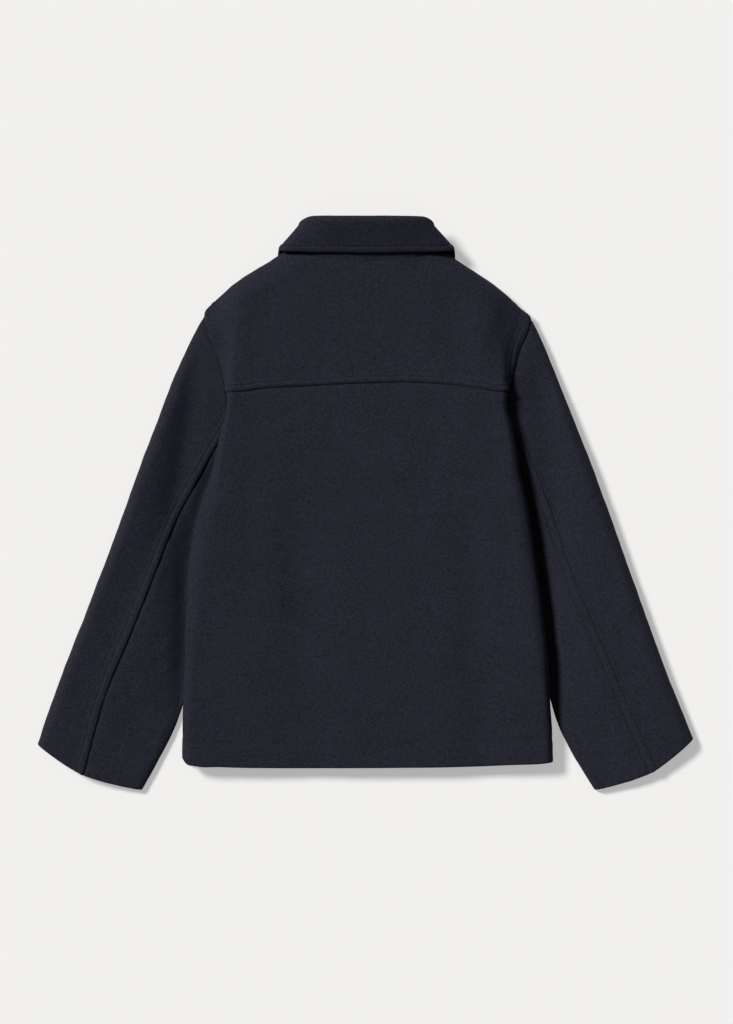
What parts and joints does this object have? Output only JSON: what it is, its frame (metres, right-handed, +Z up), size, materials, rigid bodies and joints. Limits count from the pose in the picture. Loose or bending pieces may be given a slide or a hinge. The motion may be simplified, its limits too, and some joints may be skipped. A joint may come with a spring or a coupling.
{
  "type": "short coat",
  "caption": "Boxy hip-length wool coat laid on its front, with a back yoke, two-piece sleeves, a folded collar and a buttoned front.",
  "frame": {"origin": "centre of the coat's footprint, on the surface it lies on", "axes": "+X across the back towards the wearer's right side, +Y from hem to collar, +Z up from the surface, the way the coat's back faces"},
  "size_m": [0.8538, 0.7463, 0.0631],
  "materials": {
    "melton": "dark navy felted wool, matt with a short nap",
    "button": "near-black horn-like plastic, satin"
  },
  "bodies": {
    "root": {"back_yoke": "melton", "back_panel": "melton", "front_left": "melton", "front_right": "melton", "sleeve_top_left": "melton", "sleeve_top_right": "melton", "sleeve_under_left": "melton", "sleeve_under_right": "melton", "collar": "melton", "button_1": "button", "button_2": "button", "button_3": "button", "button_4": "button", "button_5": "button"}
  },
  "joints": []
}
